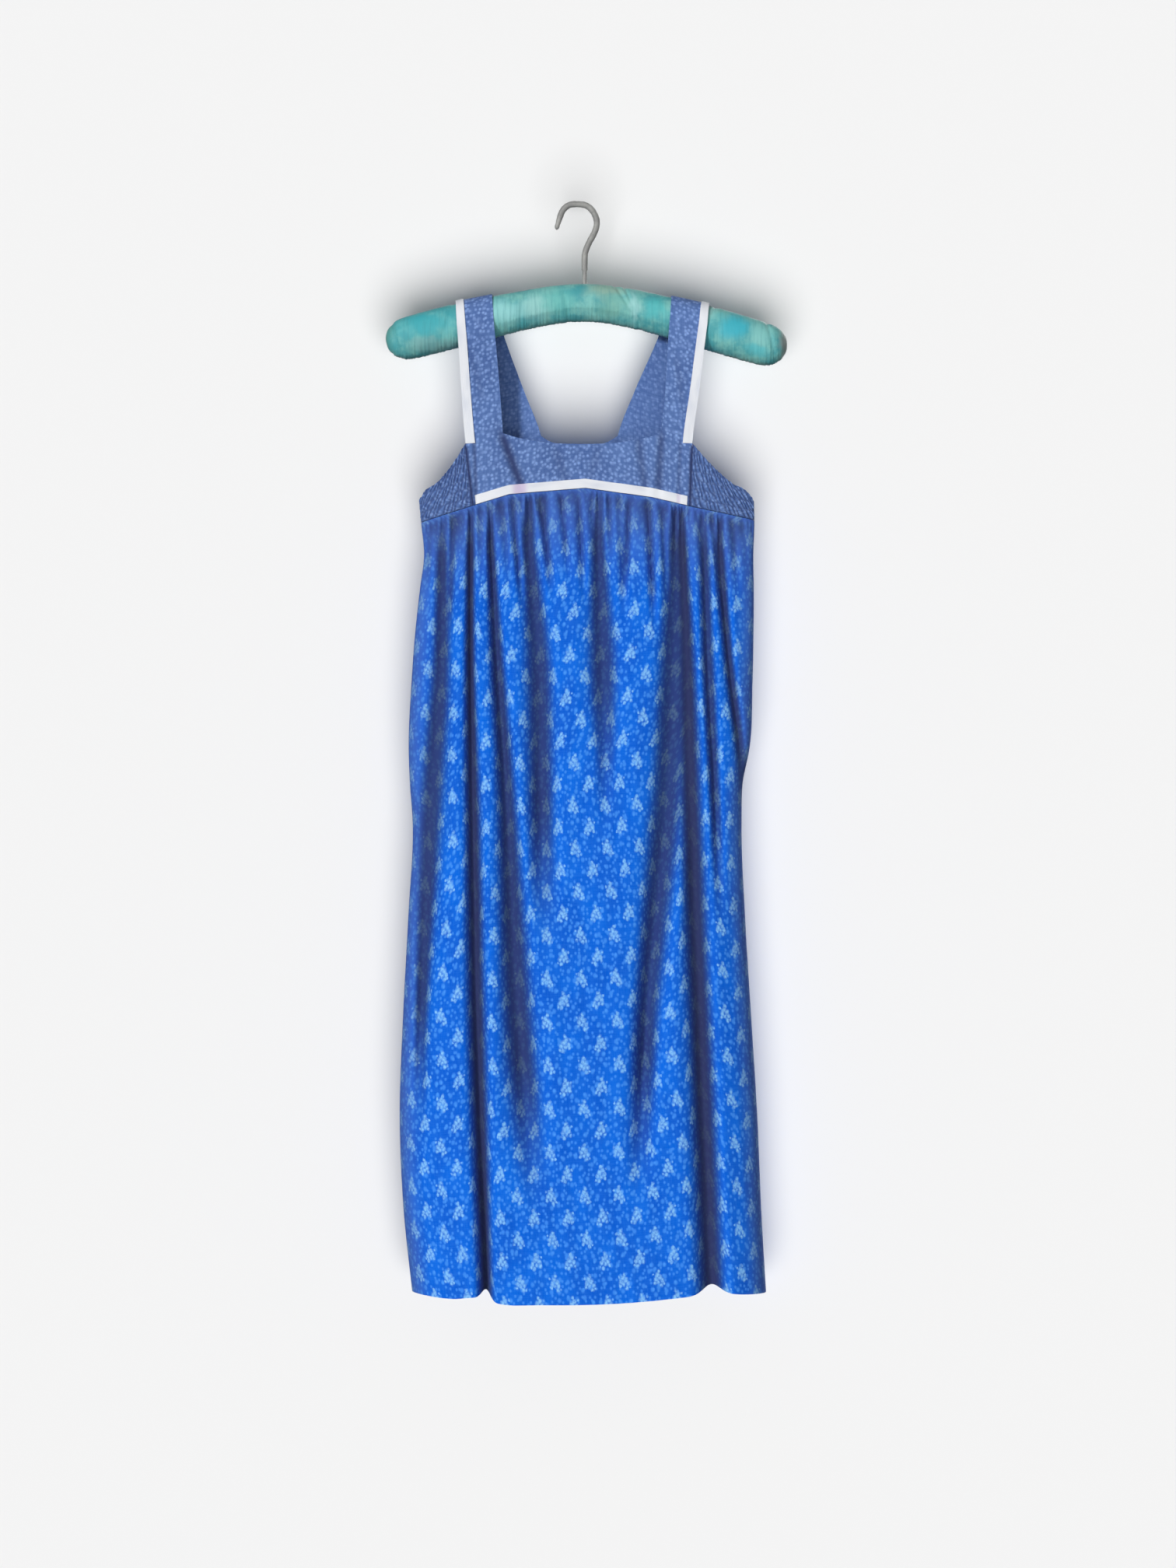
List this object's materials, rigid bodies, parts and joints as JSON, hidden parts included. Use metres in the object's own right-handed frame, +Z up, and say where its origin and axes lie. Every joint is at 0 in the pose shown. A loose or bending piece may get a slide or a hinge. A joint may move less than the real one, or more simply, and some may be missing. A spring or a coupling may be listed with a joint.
{
  "type": "summer dress on a padded hanger",
  "caption": "Sleeveless high-waisted summer dress with a square neck, wide straps, shirred side panels and a long gathered skirt, hung on a padded hanger.",
  "frame": {"origin": "inside of the hook's crown, where a rail carries the hanger", "axes": "+Z up, the front of the dress faces -Y, the wearer's left side is at +X"},
  "size_m": [0.4241, 0.0988, 1.1627],
  "materials": {
    "bodice_calico": "small blue cotton print with pale dots, matt",
    "skirt_calico": "bright blue cotton with a small pale sprig print, matt",
    "white_tape": "white woven cotton tape",
    "teal_cloth": "soft teal cloth with a faint sheen, wrinkled over padding",
    "hook_cover": "dull grey sleeve over wire"
  },
  "bodies": {
    "root": {"hanger_padding": "teal_cloth", "hanger_hook": "hook_cover", "yoke_front": "bodice_calico", "yoke_back": "bodice_calico", "side_panel_front_right": "bodice_calico", "side_panel_front_left": "bodice_calico", "side_panel_back_right": "bodice_calico", "side_panel_back_left": "bodice_calico", "skirt_front": "skirt_calico", "skirt_back": "skirt_calico", "tape_strap_right": "white_tape", "tape_strap_left": "white_tape", "tape_front": "white_tape"}
  },
  "joints": []
}
